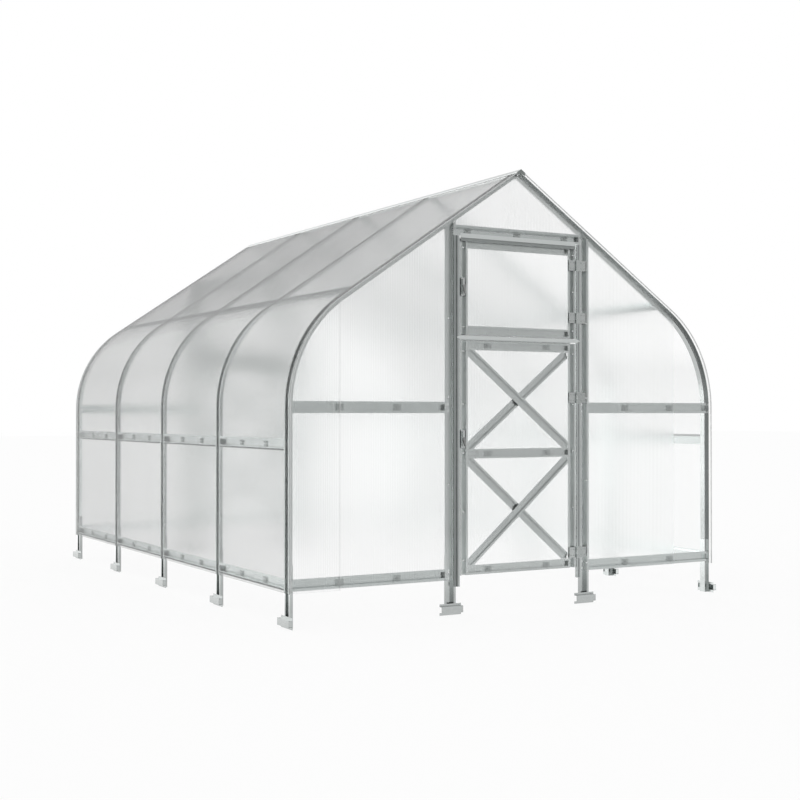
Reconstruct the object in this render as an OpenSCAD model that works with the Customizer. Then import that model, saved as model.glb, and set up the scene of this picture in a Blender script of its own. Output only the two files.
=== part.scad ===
// Walk-in greenhouse with a pointed roof: folded steel arches, clear twin-wall sheets outside them,
// a gable door with an upper window at each end, and stakes with crosspieces for feet.
// Every steel bar is a "hat": a channel whose two edges turn out into flanges.
// Millimetres. X is across, Y runs from the front gable (-Y) to the rear one, Z is up from the floor.

/* [House] */
// Width over the arches
house_w = 3000; // [2600:20:3800]
// Length over the end arches
house_l = 4000; // [3200:20:6000]
// Height from the floor to the rafters' peak
ridge_h = 2600; // [2500:10:3200]
// Height at which the walls start to curve in
wall_h = 1195; // [1100:5:1300]
// Radius of the curved eaves
eave_r = 740; // [600:10:900]
// Height of the lower edge of the sheets above the floor
skirt_h = 188; // [150:2:195]

/* [Steel bars] */
// Thickness of the folded steel
steel_t = 2; // [1.5:0.1:3]
// Width of the arches and rails over both flanges
bar_w = 65; // [55:1:75]
// Clear width of their channel
bar_gap = 35; // [25:1:40]
// Depth of the arches, rails and posts
bar_d = 25; // [20:1:32]
// Width of the door posts over both flanges
post_w = 76; // [65:1:90]
// Clear width of the door posts' channel
post_gap = 42; // [30:1:50]

/* [Rails] */
// Height of the base rails' lower edge
base_rail_z = 200; // [200:1:260]
// Height of the gable rails' lower edge
gable_rail_z = 1160; // [1000:5:1300]
// Height of the side rails' lower edge
side_rail_z = 957; // [800:1:1050]
// Distance of the eave rails up the rafter, from where it straightens
eave_rail_up = 76; // [45:1:200]
// Half width of the folded rail inside the ridge
ridge_rail_w = 32; // [24:1:90]
// Depth of that rail's turned-down edges
ridge_rail_lip = 10; // [6:1:25]

/* [Feet] */
// Length of a stake
stake_l = 340; // [250:5:500]
// Length of the crosspiece at its foot
foot_l = 145; // [100:5:200]

/* [Sheets] */
// Thickness of the twin-wall sheets
sheet_t = 4; // [3:1:8]
// Overhang of the roof sheets beyond the end arches
overhang = 22; // [12:1:30]
// Width of the ridge cap down each slope
cap_w = 33; // [25:1:60]
// Distance of the gable sheets' upright seam from the middle
seam_x = 1197; // [900:1:1200]

/* [Gable door] */
// Half the distance between the door posts' middle lines
post_x = 481; // [460:1:560]
// Height of the door's lower edge
door_z = 222; // [205:1:260]
// Height of the door
door_h = 1360; // [1300:5:1400]
// Height of the door's middle rail above its lower edge
door_rail_up = 674; // [500:1:800]
// Height of the door's latch above its lower edge
door_latch_up = 736; // [700:1:1000]
// Height of the window above the door
window_h = 560; // [400:5:560]
// Height of the window's latch above its lower edge
window_latch_up = 228; // [100:1:300]
// Height of the head rail over the window
head_h = 60; // [50:1:65]
// Width of the door and window bars over both flanges
leaf_bar_w = 55; // [45:1:60]
// Clear width of their channel
leaf_bar_gap = 29; // [20:1:34]
// Depth of the door and window bars
leaf_bar_d = 20; // [18:1:24]
// Width of the door's cross braces
brace_w = 56; // [30:1:60]
// Clear width of the braces' channel
brace_gap = 28; // [12:1:34]
// Depth of the braces
brace_d = 9.5; // [7:0.1:9.5]
// Width of the jamb strips
jamb_w = 19; // [15:1:21]
// How far the jamb strips stand in front of the posts
jamb_out = 8; // [6:0.5:9]
// Width of their tab on the post
jamb_tab = 14; // [10:1:16]
// How far they reach below the sheets
jamb_drop = 28; // [10:1:30]
// Height of the light strip between door and window
strip_h = 23; // [18:1:26]

/* [Door fittings] */
// Height of a hinge
hinge_h = 64; // [50:1:80]
// Radius of the hinge barrels
barrel_r = 5; // [4.5:0.5:7]
// Radius of the hinge pins
pin_r = 2.5; // [2:0.5:3]
// Height of the lower hinge above the door's lower edge
low_hinge_up = 60; // [40:5:200]
// Height of the upper hinge above the door's lower edge
high_hinge_up = 1000; // [800:5:1150]
// Length of a latch
latch_l = 104; // [70:2:140]

/* [Hidden] */
BODY_NODES = [
    "arch_1", "arch_2", "arch_3", "arch_4", "arch_5", "ridge_rails", "ridge_cap",
    "left_wall_rails", "right_wall_rails", "left_eave_rails", "right_eave_rails",
    "side_stakes", "side_feet", "post_stakes", "post_feet",
    "left_front_sheet", "left_rear_sheet", "right_front_sheet", "right_rear_sheet",
    "front_left_post", "front_right_post", "rear_posts",
    "gable_mid_rails", "gable_base_rails", "head_rails", "jamb_strips", "transom_strips", "drip_strips",
    "front_left_pane", "front_right_pane", "front_top_pane", "rear_panes",
    "window_frame", "window_pane", "window_fittings", "door_hinge_brackets"
];
DOOR_NODES = [
    "door_stiles", "door_rails", "door_braces", "door_pane", "door_latch", "door_hinge_leaves"
];
REAR_NODES = ["rear_leaf_frames", "rear_braces", "rear_leaf_panes", "rear_fittings"];

$fn = 96;
bays = 4;
seat = 0.3;                        // gap between pieces that bear on each other
pin_play = 0.1;                    // radial gap round a hinge pin
move_gap = 5;                      // gap round the door
end_y = house_l / 2;               // outer face of an end arch
half_w = house_w / 2;
bay = (house_l - bar_w) / bays;    // arch to arch
nest = steel_t + seat;             // how far a stake sits behind the bar that it carries

// Roof line: a straight rafter that meets the eave's arc without a corner.
eave_x = half_w - eave_r;
peak_to_eave = norm([eave_x, ridge_h - wall_h]);
pitch = atan2(ridge_h - wall_h, eave_x) - asin(eave_r / peak_to_eave);
rafter_x = eave_x + eave_r * sin(pitch);

// Gable layout, outwards from the middle of the doorway.
post_in = post_x - post_w / 2;
post_out = post_x + post_w / 2;
jamb_out_x = post_in - 2;
jamb_in_x = jamb_out_x - jamb_w;
leaf_x = jamb_in_x - move_gap;
leaf_in_x = leaf_x - leaf_bar_w;
door_top = door_z + door_h;
strip_z = door_top + move_gap;
window_z = strip_z + strip_h + 2;
window_top = window_z + window_h;
head_z = window_top + 18;
door_rail_heights = [door_z, door_z + door_rail_up, door_top - leaf_bar_w];
pane_back = -end_y - seat;                 // inner face of the gable sheets
pane_front = pane_back - sheet_t;          // outer face
pane_lap = 9;                              // how far a gable sheet passes its post's middle
jamb_front = -end_y - jamb_out;

// Hinges: the barrel stands in front of the gap between leaf and jamb strip.
plate_t = 2.5;
knuckle = hinge_h / 3;
knuckle_gap = 0.5;
swing_gap = 1;                             // between a knuckle and the other half's plate
hinge_x = leaf_x + move_gap / 2;
hinge_y = jamb_front - knuckle_gap - barrel_r;
door_hinges = [door_z + low_hinge_up, door_z + high_hinge_up];
window_hinges = [window_z + 95, window_z + window_h - 145];

// ---------- shapes ----------

// Cross-section of a hat bar: flanges along y = 0, web at y = depth.
module hat_profile(w, gap, depth, t = steel_t) {
    side = (w - gap) / 2;
    polygon([
        [0, 0], [side, 0], [side, depth - t], [w - side, depth - t], [w - side, 0], [w, 0],
        [w, t], [w - side + t, t], [w - side + t, depth], [side - t, depth], [side - t, t], [0, t]
    ]);
}

// Upright bar from the origin, x to the right, channel open towards -y.
module upright(length, w = bar_w, gap = bar_gap, depth = bar_d) {
    linear_extrude(length) hat_profile(w, gap, depth);
}

// Level bar along +x from the origin, its width upwards, channel open towards -y.
module level(length, w = bar_w, gap = bar_gap, depth = bar_d) {
    translate([0, 0, w]) rotate([0, 90, 0]) linear_extrude(length) hat_profile(w, gap, depth);
}

module box(low, high) {
    translate(low) cube(high - low);
}

// A flat outline in x and z, made into a slab from y to y + length.
module slab(y, length) {
    translate([0, y + length, 0]) rotate([90, 0, 0]) linear_extrude(length) children();
}

// Outline of the whole house from height z0 up, moved inwards by d.
module outline(d, z0) {
    wall_x = half_w - d;
    r = eave_r - d;
    rafter = [eave_x + r * sin(pitch), wall_h + r * cos(pitch)];
    peak = [0, ridge_h - d / cos(pitch)];
    polygon([
        [-wall_x, z0], [wall_x, z0], [wall_x, wall_h], [eave_x, wall_h], rafter, peak,
        [-rafter[0], rafter[1]], [-eave_x, wall_h], [-wall_x, wall_h]
    ]);
    for (side = [-1, 1]) translate([side * eave_x, wall_h]) circle(r);
}

// The strip of that outline between depths d1 and d2.
module shell_outline(d1, d2, z0) {
    difference() {
        outline(d1, z0);
        outline(d2, z0 - 1);
    }
}

// Hat bar bent to the house's outline, from y0, channel open outwards.
module bent_bar(y0, z0) {
    side = (bar_w - bar_gap) / 2;
    difference() {
        union() {
            slab(y0, bar_w) shell_outline(0, steel_t, z0);
            slab(y0 + side - steel_t, bar_gap + 2 * steel_t) shell_outline(0, bar_d, z0);
        }
        slab(y0 + side, bar_gap) shell_outline(-1, bar_d - steel_t, z0 - 0.5);
    }
}

function arch_y(i) = -end_y + i * bay;

// Turns its children to the right and left wall alike.
module both_sides() {
    children();
    mirror([1, 0, 0]) children();
}

// Puts its children on the front gable and, turned round, on the rear one.
module both_ends() {
    children();
    rear() children();
}

module rear() {
    rotate([0, 0, 180]) children();
}

// ---------- arches and roof ----------

// One arch: a leg with its curved eave and a straight rafter on each side, butted at three joints.
module arch(i) {
    joint = seat / 2;
    y0 = arch_y(i);
    color("#9aa3a5") difference() {
        bent_bar(y0, skirt_h);
        box([-joint, y0 - 1, 0], [joint, y0 + bar_w + 1, ridge_h + 1]);
        for (side = [-1, 1]) translate([side * eave_x, 0, wall_h]) rotate([0, side * pitch, 0])
            box([-joint, y0 - 1, eave_r - bar_d - 5], [joint, y0 + bar_w + 1, eave_r + 1]);
    }
}

// Folded strip inside the ridge, from arch to arch, with its edges turned down.
module ridge_rails() {
    color("#8f989a") for (i = [0:bays - 1])
        slab(arch_y(i) + bar_w + seat, bay - bar_w - 2 * seat) intersection() {
            union() {
                shell_outline(0, steel_t, skirt_h);
                for (side = [-1, 1]) intersection() {
                    shell_outline(0, ridge_rail_lip, skirt_h);
                    translate([side * (ridge_rail_w - steel_t / 2), ridge_h / 2])
                        square([steel_t, 2 * ridge_h], center = true);
                }
            }
            square([2 * ridge_rail_w, 3 * ridge_h], center = true);
        }
}

// Cap over the sheets' upper edges, closed by a small plate at each end.
module ridge_cap() {
    cap_d = -sheet_t - 2 * seat;
    end_h = 14;
    end_inset = 4;
    cap_end = end_y + overhang + seat;
    color("#7c8587") {
        slab(-cap_end - steel_t, 2 * (cap_end + steel_t)) intersection() {
            shell_outline(cap_d - steel_t, cap_d, skirt_h);
            square([2 * cap_w, 3 * ridge_h], center = true);
        }
        for (y = [-cap_end - steel_t, cap_end]) slab(y, steel_t) intersection() {
            shell_outline(cap_d - steel_t, end_h, skirt_h);
            square([2 * (cap_w - end_inset), 3 * ridge_h], center = true);
        }
    }
}

// Level bars of one wall: a base rail and a middle rail in each bay.
module wall_rails() {
    color("#9aa3a5") for (i = [0:bays - 1], z = [base_rail_z, side_rail_z])
        translate([half_w, arch_y(i) + bar_w + seat, z]) rotate([0, 0, 90])
            level(bay - bar_w - 2 * seat);
}

// Bars where the right rafters straighten, one in each bay.
module eave_rails() {
    along = rafter_x - eave_rail_up * cos(pitch);
    up = ridge_h - along * tan(pitch);
    color("#9aa3a5") for (i = [0:bays - 1])
        slab(arch_y(i) + bar_w + seat, bay - bar_w - 2 * seat)
            translate([along, up]) rotate(-pitch) mirror([0, 1]) translate([-bar_w / 2, 0])
                hat_profile(bar_w, bar_gap, bar_d);
}

// ---------- stakes and feet ----------

// Stake nested behind a bar of width w, and the crosspiece across its open face.
module stake(w, gap) {
    translate([-w / 2, nest, 0])
        upright(stake_l, w, gap + 2 * nest, bar_d);
}

module foot() {
    translate([-foot_l / 2, nest - seat, bar_w]) mirror([0, 1, 0]) mirror([0, 0, 1])
        level(foot_l);
}

// Places children at each leg of both walls, facing out.
module at_legs() {
    both_sides() for (i = [0:bays])
        translate([half_w, arch_y(i) + bar_w / 2, 0]) rotate([0, 0, 90]) children();
}

module at_posts() {
    both_ends() for (side = [-1, 1]) translate([side * post_x, -end_y, 0]) children();
}

module side_stakes() { color("#8b9496") at_legs() stake(bar_w, bar_gap); }
module side_feet() { color("#a3abac") at_legs() foot(); }
module post_stakes() { color("#8b9496") at_posts() stake(post_w, post_gap); }
module post_feet() { color("#a3abac") at_posts() foot(); }

// ---------- sheets over the arches ----------

// Right-hand sheet over two bays, from its lower edge to the ridge.
module side_sheet(y, length) {
    color("#dfe6e6") slab(y, length) intersection() {
        shell_outline(-sheet_t - seat, -seat, skirt_h);
        translate([2, 0]) square([house_w, 2 * ridge_h]);
    }
}

module side_sheet_front() { side_sheet(-end_y - overhang, end_y + overhang - seat); }
module side_sheet_rear() { side_sheet(seat, end_y + overhang - seat); }

// ---------- gables ----------

// Door post: stands on its stake and ends under the rafter.
module gable_post(side) {
    color("#98a1a3") intersection() {
        translate([side * post_x - post_w / 2, -end_y, skirt_h])
            upright(ridge_h, post_w, post_gap, bar_d);
        slab(-end_y - 1, bar_d + 2) outline(bar_d + seat, 0);
    }
}

// Right-hand gable rail at height z, whose outer end is at x = outer.
module gable_rail(z, outer) {
    start = post_out + seat;
    color("#9ea7a9") translate([start, -end_y, z]) level(outer - start);
}

module both_posts() {
    for (side = [-1, 1]) gable_post(side);
}

module gable_mid_rails() {
    both_ends() both_sides() gable_rail(gable_rail_z, half_w - bar_d - seat);
}

module gable_base_rails() {
    both_ends() both_sides() gable_rail(base_rail_z, half_w - bar_d - nest - seat);
}

module head_rails() {
    color("#9ea7a9") both_ends() translate([-post_in + seat, -end_y, head_z])
        level(2 * (post_in - seat), head_h, bar_gap - 5, bar_d);
}

// Strip that covers the gap beside the door: a tab on the post, a step out and a lip back.
module jamb_strips() {
    low = skirt_h - jamb_drop;
    high = head_z - 2;
    lip_back = -end_y + 10;
    tab_front = -end_y - seat - steel_t;
    color("#a6aeaf") both_ends() both_sides() {
        box([jamb_out_x - steel_t, tab_front, low], [jamb_out_x + jamb_tab, -end_y - seat, high]);
        box([jamb_out_x - steel_t, jamb_front, low], [jamb_out_x, -end_y - seat, high]);
        box([jamb_in_x, jamb_front, low], [jamb_out_x, jamb_front + steel_t, high]);
        box([jamb_in_x, jamb_front, low], [jamb_in_x + steel_t, lip_back, high]);
    }
}

// Light strip between door and window, fastened on the jamb strips and pointed at its ends.
module transom_strips() {
    point = 22;
    front = jamb_front - seat - 3;
    mid = strip_z + strip_h / 2;
    half = jamb_out_x;
    color("#c4cbcb") both_ends() slab(front, 3) polygon([
        [-half + point, strip_z], [half - point, strip_z], [half, mid - 3], [half, mid + 3],
        [half - point, strip_z + strip_h], [-half + point, strip_z + strip_h],
        [-half, mid + 3], [-half, mid - 3]
    ]);
}

// Drip strip under the head rail.
module drip_strips() {
    half = jamb_in_x - 8;
    low = head_z - 14;
    color("#c4cbcb") both_ends() {
        box([-half, -end_y - seat - steel_t, low], [half, -end_y - seat, head_z + 12]);
        box([-half, -end_y - 12, low], [half, -end_y - seat, low + steel_t]);
    }
}

// Stretch of the gable's sheet from one x to another, above height low.
module gable_sheet(from_x, to_x, low) {
    color("#e9eeee") slab(pane_front, sheet_t) intersection() {
        outline(1, skirt_h);
        translate([from_x, low]) square([to_x - from_x, ridge_h]);
    }
}

// Wide sheet from the post to the seam, level with the base rail's lower edge.
module seam_pane() {
    gable_sheet(post_x - pane_lap, seam_x - seat, base_rail_z);
}

// Wide sheet with the narrow one that closes the gable out to the arch.
module side_pane() {
    seam_pane();
    gable_sheet(seam_x + seat, half_w, skirt_h);
}

module top_pane() {
    half = post_x - pane_lap - 1;
    gable_sheet(-half, half, head_z + head_h / 2 + 4);
}

// ---------- door and window leaves ----------

// Two uprights of a leaf between heights low and high.
module leaf_stiles(low, high) {
    color("#98a1a3") for (x = [-leaf_x, leaf_in_x]) translate([x, -end_y, low])
        upright(high - low, leaf_bar_w, leaf_bar_gap, leaf_bar_d);
}

module leaf_rail(z) {
    color("#9ea7a9") translate([-leaf_in_x + seat, -end_y, z])
        level(2 * (leaf_in_x - seat), leaf_bar_w, leaf_bar_gap, leaf_bar_d);
}

module leaf_pane(low, high) {
    edge = 4;
    color("#e9eeee") box([-leaf_x + edge, pane_front, low + edge], [leaf_x - edge, pane_back, high - edge]);
}

// Brace across one panel, rising to the right when rise is 1, at depth y.
module brace(low, high, rise, y) {
    across = 2 * leaf_in_x;
    tall = high - low;
    angle = atan2(tall, across);
    length = norm([across, tall]) + 2 * brace_w;
    intersection() {
        translate([0, y, (low + high) / 2]) rotate([0, -rise * angle, 0])
            translate([-length / 2, 0, -brace_w / 2]) level(length, brace_w, brace_gap, brace_d);
        box([-leaf_in_x + seat, -end_y - 1, low + seat],
            [leaf_in_x - seat, -end_y + leaf_bar_d, high - seat]);
    }
}

// Two crossed braces in each panel; the one in front leans the other way in the upper panel.
module leaf_braces() {
    front = -end_y;
    back = -end_y + brace_d + seat;
    z = door_rail_heights;
    color("#a0a8a9") {
        brace(z[0] + leaf_bar_w, z[1], 1, front);
        brace(z[0] + leaf_bar_w, z[1], -1, back);
        brace(z[1] + leaf_bar_w, z[2], -1, front);
        brace(z[1] + leaf_bar_w, z[2], 1, back);
    }
}

// Turning latch on the left stile: a plate with its handle in front.
module latch(z) {
    edge = -leaf_x + 4;
    back = pane_front - seat;
    plate = 3;
    color("#5f6668") {
        box([edge, back - plate, z], [edge + 28, back, z + latch_l]);
        box([edge + 5, back - 14, z + 12], [edge + 18, back - plate, z + latch_l - 8]);
    }
}

// ---------- hinges ----------

// Plate on the stile, and the middle knuckle that it carries.
module hinge_leaf(z) {
    plate_in = leaf_in_x + 4;
    back = pane_front - seat;
    low = knuckle + knuckle_gap;
    high = 2 * knuckle - knuckle_gap;
    color("#8b9496") translate([0, 0, z]) {
        box([plate_in, back - plate_t, 0], [leaf_x - seat, back, hinge_h]);
        difference() {
            union() {
                box([hinge_x - barrel_r, hinge_y, low], [leaf_x - seat, back, high]);
                translate([hinge_x, hinge_y, low]) cylinder(r = barrel_r, h = high - low);
            }
            translate([hinge_x, hinge_y, low - 1]) cylinder(r = pin_r + pin_play, h = knuckle + 1);
        }
    }
}

// Plate over the jamb strip and down on the post, with the outer knuckles and the pin.
module hinge_bracket(z) {
    plate_out = post_in + 49;
    back = pane_front - seat;
    strip_back = jamb_front - seat;
    strip_front = strip_back - plate_t;
    step = jamb_out_x + seat;
    clear_x = hinge_x + barrel_r + swing_gap;
    color("#8b9496") translate([0, 0, z]) {
        box([step, back - plate_t, 0], [plate_out, back, hinge_h]);
        box([step, strip_front, 0], [step + plate_t, back, hinge_h]);
        box([clear_x, strip_front, 0], [step + plate_t, strip_back, hinge_h]);
        for (k = [0, 2]) {
            box([hinge_x, strip_front, k * knuckle], [clear_x, strip_back, (k + 1) * knuckle]);
            translate([hinge_x, hinge_y, k * knuckle]) cylinder(r = barrel_r, h = knuckle);
        }
        translate([hinge_x, hinge_y, 0]) cylinder(r = pin_r, h = hinge_h);
    }
}

// ---------- parts of one node each ----------

module window_frame() {
    leaf_stiles(window_z, window_top);
    for (z = [window_z, window_top - leaf_bar_w]) leaf_rail(z);
}

module window_pane() { leaf_pane(window_z, window_top); }

module fixed_hinge(z) {
    hinge_leaf(z);
    hinge_bracket(z);
}

module window_fittings() {
    latch(window_z + window_latch_up);
    for (z = window_hinges) fixed_hinge(z);
}

module door_stiles() { leaf_stiles(door_z, door_top); }
module door_rails() { for (z = door_rail_heights) leaf_rail(z); }
module door_pane() { leaf_pane(door_z, door_top); }
module door_latch() { latch(door_z + door_latch_up); }
module door_hinge_leaves() { for (z = door_hinges) hinge_leaf(z); }
module door_hinge_brackets() { for (z = door_hinges) hinge_bracket(z); }

module rear_posts() { rear() both_posts(); }

module rear_panes() {
    rear() {
        both_sides() side_pane();
        top_pane();
    }
}

module rear_leaf_frames() {
    rear() {
        window_frame();
        door_stiles();
        door_rails();
    }
}

module rear_leaf_panes() {
    rear() {
        window_pane();
        door_pane();
    }
}

module rear_fittings() {
    rear() {
        window_fittings();
        door_latch();
        for (z = door_hinges) fixed_hinge(z);
    }
}

// ---------- nodes ----------

arch(0);  // arch_1
arch(1);  // arch_2
arch(2);  // arch_3
arch(3);  // arch_4
arch(4);  // arch_5
ridge_rails();
ridge_cap();
mirror([1, 0, 0]) wall_rails();  // left_wall_rails
wall_rails();  // right_wall_rails
mirror([1, 0, 0]) eave_rails();  // left_eave_rails
eave_rails();  // right_eave_rails
side_stakes();
side_feet();
post_stakes();
post_feet();
mirror([1, 0, 0]) side_sheet_front();  // left_front_sheet
mirror([1, 0, 0]) side_sheet_rear();  // left_rear_sheet
side_sheet_front();  // right_front_sheet
side_sheet_rear();  // right_rear_sheet
gable_post(-1);  // front_left_post
gable_post(1);  // front_right_post
rear_posts();
gable_mid_rails();
gable_base_rails();
head_rails();
jamb_strips();
transom_strips();
drip_strips();
mirror([1, 0, 0]) side_pane();  // front_left_pane
seam_pane();  // front_right_pane
top_pane();  // front_top_pane
rear_panes();
window_frame();
window_pane();
window_fittings();
door_hinge_brackets();
door_stiles();
door_rails();
leaf_braces();  // door_braces
door_pane();
door_latch();
door_hinge_leaves();
rear_leaf_frames();
rear() leaf_braces();  // rear_braces
rear_leaf_panes();
rear_fittings();
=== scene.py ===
import functools
import math

import bpy
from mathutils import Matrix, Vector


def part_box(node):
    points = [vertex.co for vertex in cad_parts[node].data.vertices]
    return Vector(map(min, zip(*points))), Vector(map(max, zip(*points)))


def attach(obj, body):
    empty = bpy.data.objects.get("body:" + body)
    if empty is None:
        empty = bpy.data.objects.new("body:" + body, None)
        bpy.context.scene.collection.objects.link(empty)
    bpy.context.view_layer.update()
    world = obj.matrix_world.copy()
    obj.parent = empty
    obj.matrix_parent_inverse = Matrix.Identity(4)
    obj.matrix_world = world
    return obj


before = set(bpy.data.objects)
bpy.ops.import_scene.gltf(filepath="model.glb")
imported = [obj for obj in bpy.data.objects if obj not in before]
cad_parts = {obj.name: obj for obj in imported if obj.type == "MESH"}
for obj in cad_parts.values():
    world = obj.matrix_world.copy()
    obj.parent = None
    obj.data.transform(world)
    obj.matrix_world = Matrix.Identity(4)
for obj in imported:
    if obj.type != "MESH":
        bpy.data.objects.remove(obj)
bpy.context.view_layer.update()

# The house, in metres. X is across, Y runs from the front gable to the rear one, Z is up.
HALF_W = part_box("arch_1")[1].x
RIDGE_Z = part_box("arch_1")[1].z
END_Y = -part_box("arch_1")[0].y
WALL_Z = 1.195            # where the walls start to curve in
EAVE_R = 0.74             # radius of the curved eaves
ARC_STEPS = 20            # faces round an eave
SKIRT_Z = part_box("left_front_sheet")[0].z
SHEET_T = 0.004
FLUTE = 0.011             # from web to web in a twin-wall sheet
SKIN = 0.0004             # how far the webs stay inside the sheet's faces
WEB_END = 0.001           # and inside its ends
WEB_LEAST = 0.005         # no web is shorter than this
SEAT = 0.0003             # gap between pieces that bear on each other
SLIP = 0.0002             # gap at the tip of a part that slides in
HAIR = 0.0001             # least gap between two faces
CORNER = 0.0002           # least cut at a block's corners
RIDGE_GAP = 0.004         # from the middle of the ridge to the webs, and to the edge caps
CAP_GAP = 0.0035

EAVE_X = HALF_W - EAVE_R
PITCH = (math.atan2(RIDGE_Z - WALL_Z, EAVE_X)
         - math.asin(EAVE_R / math.hypot(EAVE_X, RIDGE_Z - WALL_Z)))
ARCHES = [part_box(f"arch_{k}") for k in range(1, 6)]


# ---------- small helpers ----------

def mesh_piece(name, verts, faces, mat, body):
    mesh = bpy.data.meshes.new(name)
    mesh.from_pydata(verts, [], faces)
    mesh.validate()
    mesh.update()
    mesh.materials.append(mat)
    obj = bpy.data.objects.new(name, mesh)
    bpy.context.scene.collection.objects.link(obj)
    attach(obj, body)


def outline_z(x, inset):
    """Height of the house's outline, moved inwards by inset, at x."""
    x, r = abs(x), EAVE_R - inset
    if x <= EAVE_X + r * math.sin(PITCH):
        return RIDGE_Z - inset / math.cos(PITCH) - x * math.tan(PITCH)
    return WALL_Z + math.sqrt(max(r * r - (x - EAVE_X) ** 2, 0.0))


def outline_path(inset, low, x_end):
    """Points (x, z) of the right half of that outline, from the wall's foot to x_end at the ridge."""
    r = EAVE_R - inset
    points = [(HALF_W - inset, low)]
    for k in range(ARC_STEPS + 1):
        a = (math.pi / 2 - PITCH) * k / ARC_STEPS
        points.append((EAVE_X + r * math.cos(a), WALL_Z + r * math.sin(a)))
    points.append((x_end, outline_z(x_end, inset)))
    return points


def span(sign, a, b):
    """The stretch from a to b on the side that sign gives, as (low, high)."""
    return sorted((sign * a, sign * b))


# ---------- materials ----------

class Nodes:
    """A node tree, with short ways to add and link nodes."""

    def __init__(self, tree):
        self.tree = tree

    def add(self, kind, **values):
        """A new node. Each value goes to the setting of that name, or else to the socket."""
        node = self.tree.nodes.new(kind)
        for key, value in values.items():
            if hasattr(node, key):
                setattr(node, key, value)
            else:
                self.set(node, key.replace("_", " "), value)
        return node

    def set(self, node, socket, value):
        target = node.inputs[socket]
        if isinstance(value, bpy.types.NodeSocket):
            self.tree.links.new(value, target)
        elif isinstance(value, tuple) and len(value) == 3 and target.type == "RGBA":
            target.default_value = (*value, 1)
        else:
            target.default_value = value

    def ramp(self, factor, stops):
        node = self.add("ShaderNodeValToRGB", Fac=factor)
        while len(node.color_ramp.elements) < len(stops):
            node.color_ramp.elements.new(0.5)
        for e, (at, colour) in zip(node.color_ramp.elements, stops):
            e.position = at
            e.color = (*colour, 1) if isinstance(colour, tuple) else (colour, colour, colour, 1)
        return node.outputs["Color"]

    def spread(self, value, start, end, low, high, **kind):
        """Low to high as value goes from start to end."""
        return self.add("ShaderNodeMapRange", Value=value, From_Min=start, From_Max=end,
                        To_Min=low, To_Max=high, **kind).outputs["Result"]

    def times(self, a, b):
        node = self.add("ShaderNodeMix", data_type="RGBA", blend_type="MULTIPLY")
        for socket, value in ((0, 1.0), (6, a), (7, b)):
            self.set(node, socket, value)
        return node.outputs[2]

    def calc(self, operation, a, b):
        node = self.add("ShaderNodeMath", operation=operation)
        for socket, value in enumerate((a, b)):
            self.set(node, socket, value)
        return node.outputs[0]

    def part(self, axis, vector):
        """The share of a vector along an axis."""
        return self.add("ShaderNodeSeparateXYZ", Vector=vector).outputs[axis]

    def along(self, axis, length):
        """0 at the middle of the house or the ground, 1 at length from it."""
        return self.part(axis, self.scaled((1 / length,) * 3))

    def looking(self, axis, way=-1):
        """1 on faces that look that way along an axis of the house, 0 or less on the others."""
        return self.part(axis, self.scaled((way,) * 3, "Normal"))

    def scaled(self, scale, space="Object"):
        where = self.add("ShaderNodeTexCoord").outputs[space]
        return self.add("ShaderNodeMapping", Vector=where, Scale=scale).outputs["Vector"]

    def noise(self, scale, detail, stretch=(1, 1, 1)):
        return self.add("ShaderNodeTexNoise", Vector=self.scaled(stretch), Scale=scale,
                        Detail=detail).outputs["Fac"]

    def bump(self, height, strength, distance):
        return self.add("ShaderNodeBump", Height=height, Strength=strength,
                        Distance=distance).outputs["Normal"]


class Material(Nodes):
    """A new material with one Principled shader."""

    def __init__(self, name):
        self.mat = bpy.data.materials.new(name)
        self.mat.use_nodes = True
        super().__init__(self.mat.node_tree)

    def surface(self, **values):
        for key, value in values.items():
            self.set(self.tree.nodes["Principled BSDF"], key.replace("_", " "), value)
        return self.mat


# Zones of the house, and faces by the way they look, where the steel gets painted light and shade: 1
# inside and 0 outside, with a soft edge.
PAINTED_LIGHT_ZONES = {
    "right": lambda n: n.ramp(n.along("X", 1.2), [(0.8, 0.0), (1.0, 1.0)]),
    "rear": lambda n: n.ramp(n.along("Y", END_Y), [(0.90, 0.0), (0.96, 1.0)]),
    "below eaves": lambda n: n.ramp(n.along("Z", RIDGE_Z), [(0.68, 1.0), (0.80, 0.0)]),
    "base rail": lambda n: n.ramp(n.along("Z", RIDGE_Z), [(0.12, 1.0), (0.20, 0.0)]),
    "looks left": lambda n: n.ramp(n.looking("X"), [(0.4, 0.0), (0.6, 1.0)]),
    "looks front": lambda n: n.ramp(n.looking("Y"), [(0.4, 0.0), (0.6, 1.0)]),
    "not to the right": lambda n: n.ramp(n.looking("X", 1), [(0.4, 1.0), (0.6, 0.0)]),
}
# The zones where each share of the steel's painted light and shade counts, all together.
PAINTED_LIGHT_SHARES = {
    "right": ("right",),
    "inside": ("right", "looks left"),
    "base": ("right", "base rail", "not to the right"),
    "shaded": ("right", "looks front", "below eaves"),
    "rear": ("rear", "looks front"),
}


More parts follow.
